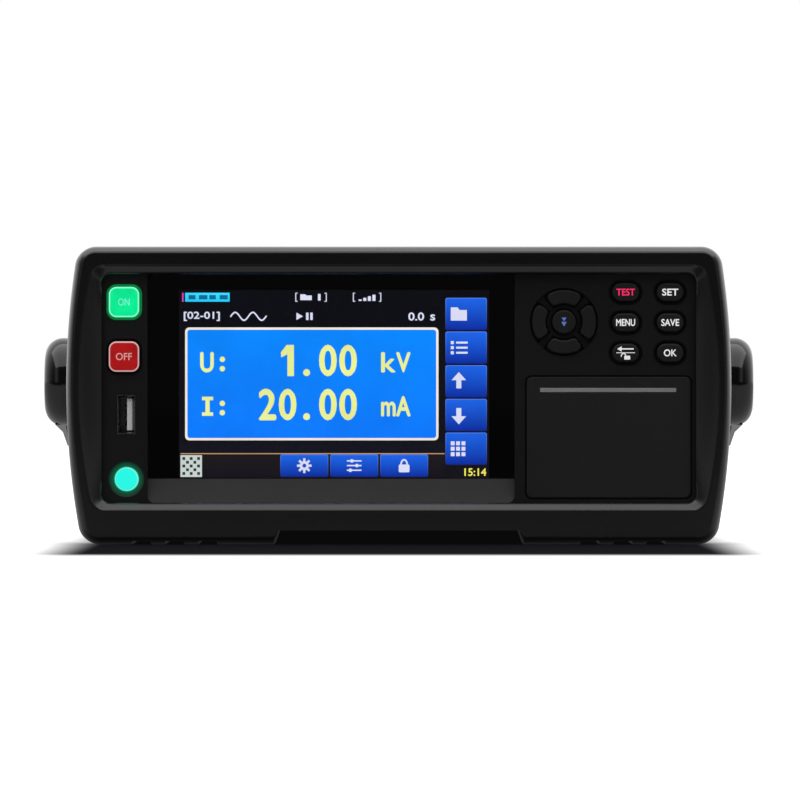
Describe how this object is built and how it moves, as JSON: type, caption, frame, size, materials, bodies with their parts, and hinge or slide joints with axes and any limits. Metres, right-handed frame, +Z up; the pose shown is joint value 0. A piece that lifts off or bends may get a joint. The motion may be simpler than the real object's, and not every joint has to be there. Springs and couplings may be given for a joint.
{
  "type": "hipot tester",
  "caption": "Bench withstand-voltage tester in a rubber-cornered case, with a recessed colour display, lit start and stop keys, a rubber keypad, a swing handle and rear test sockets.",
  "frame": {"origin": "on the table, under the middle of the case", "axes": "+X to the right seen from the front, +Y to the back, +Z up; the display faces -Y"},
  "size_m": [0.257, 0.36, 0.105],
  "materials": {
    "rubber_black": "matte",
    "case_paint": "fine texture",
    "panel_black": "satin",
    "gloss_black": "polished",
    "window_glass": "polished",
    "lcd_dark": "lit display",
    "trim_grey": "textured",
    "key_rubber": "matte",
    "key_clear": "translucent",
    "start_green": "lit",
    "stop_clear": "translucent",
    "stop_red": "polished",
    "power_lit": "lit",
    "steel": "brushed",
    "brass": "satin",
    "white_plastic": "smooth",
    "switch_dark": "matte",
    "board_green": "solder mask",
    "socket_red": "smooth",
    "core_steel": "laminated",
    "coil_tape": "wound",
    "aluminium": "extruded",
    "cable_grey": "smooth"
  },
  "bodies": {
    "case": {"front_bumper": "rubber_black", "rear_bumper": "rubber_black", "top_cover": "case_paint", "chassis_tray": "case_paint", "front_bezel": "panel_black", "rear_panel": "case_paint", "display_window": "window_glass", "lcd_module": "lcd_dark", "blank_panel": "panel_black", "trim_strip": "trim_grey", "keypad_mat": "key_rubber", "front_board": "board_green", "tact_switches": "switch_dark", "usb_shell": "steel", "usb_tongue": "white_plastic", "power_switch": "switch_dark", "pivot_bosses": "case_paint", "pivot_hardware": "steel", "fan_frame": "panel_black", "fan_guard": "steel", "power_inlet": "gloss_black", "inlet_pins": "brass", "output_socket": "socket_red", "return_socket": "gloss_black", "earth_terminal": "brass", "serial_port": "steel", "handler_port": "steel", "transformer_core": "core_steel", "transformer_coil": "coil_tape", "main_board": "board_green", "amplifier_heatsink": "aluminium", "power_supply": "board_green", "hv_board": "board_green", "board_standoffs": "brass", "machine_screws": "steel", "ribbon_cable": "cable_grey"},
    "start_button": {"start_key": "key_clear", "start_cap": "start_green"},
    "stop_button": {"stop_key": "stop_clear", "stop_cap": "stop_red"},
    "power_push": {"power_button": "power_lit"},
    "up": {"up_key": "key_rubber"},
    "down": {"down_key": "key_rubber"},
    "left": {"left_key": "key_rubber"},
    "right": {"right_key": "key_rubber"},
    "center": {"center_key": "key_rubber"},
    "test": {"test_key": "key_rubber"},
    "set": {"set_key": "key_rubber"},
    "menu": {"menu_key": "key_rubber"},
    "save": {"save_key": "key_rubber"},
    "back": {"back_key": "key_rubber"},
    "ok": {"ok_key": "key_rubber"},
    "handle": {"handle_arm_left": "case_paint", "handle_arm_right": "case_paint", "handle_bar": "steel", "handle_grip": "rubber_black", "hub_caps": "gloss_black", "handle_screws": "steel"},
    "fan": {"fan_rotor": "switch_dark"},
    "drawer": {"fuse_drawer": "gloss_black"}
  },
  "joints": [
    {"name": "start_press", "type": "slide", "parent": "case", "child": "start_button", "axis": [0, 1, 0], "range_m": [0, 0.0015], "stiffness_N_per_m": 900},
    {"name": "stop_press", "type": "slide", "parent": "case", "child": "stop_button", "axis": [0, 1, 0], "range_m": [0, 0.0015], "stiffness_N_per_m": 900},
    {"name": "power_press", "type": "slide", "parent": "case", "child": "power_push", "axis": [0, 1, 0], "range_m": [0, 0.0015], "stiffness_N_per_m": 900},
    {"name": "up_press", "type": "slide", "parent": "case", "child": "up", "axis": [0, 1, 0], "range_m": [0, 0.0012], "stiffness_N_per_m": 800},
    {"name": "down_press", "type": "slide", "parent": "case", "child": "down", "axis": [0, 1, 0], "range_m": [0, 0.0012], "stiffness_N_per_m": 800},
    {"name": "left_press", "type": "slide", "parent": "case", "child": "left", "axis": [0, 1, 0], "range_m": [0, 0.0012], "stiffness_N_per_m": 800},
    {"name": "right_press", "type": "slide", "parent": "case", "child": "right", "axis": [0, 1, 0], "range_m": [0, 0.0012], "stiffness_N_per_m": 800},
    {"name": "center_press", "type": "slide", "parent": "case", "child": "center", "axis": [0, 1, 0], "range_m": [0, 0.0012], "stiffness_N_per_m": 800},
    {"name": "test_press", "type": "slide", "parent": "case", "child": "test", "axis": [0, 1, 0], "range_m": [0, 0.0012], "stiffness_N_per_m": 800},
    {"name": "set_press", "type": "slide", "parent": "case", "child": "set", "axis": [0, 1, 0], "range_m": [0, 0.0012], "stiffness_N_per_m": 800},
    {"name": "menu_press", "type": "slide", "parent": "case", "child": "menu", "axis": [0, 1, 0], "range_m": [0, 0.0012], "stiffness_N_per_m": 800},
    {"name": "save_press", "type": "slide", "parent": "case", "child": "save", "axis": [0, 1, 0], "range_m": [0, 0.0012], "stiffness_N_per_m": 800},
    {"name": "back_press", "type": "slide", "parent": "case", "child": "back", "axis": [0, 1, 0], "range_m": [0, 0.0012], "stiffness_N_per_m": 800},
    {"name": "ok_press", "type": "slide", "parent": "case", "child": "ok", "axis": [0, 1, 0], "range_m": [0, 0.0012], "stiffness_N_per_m": 800},
    {"name": "handle_swing", "type": "hinge", "parent": "case", "child": "handle", "pos_m": [0, -0.095, 0.0575], "axis": [-1, 0, 0], "range_deg": [0, 322]},
    {"name": "fan_spin", "type": "hinge", "parent": "case", "child": "fan", "pos_m": [0.02, 0.15, 0.057], "axis": [0, 1, 0], "continuous": true},
    {"name": "drawer_pull", "type": "slide", "parent": "case", "child": "drawer", "axis": [0, 1, 0], "range_m": [0, 0.011]}
  ]
}
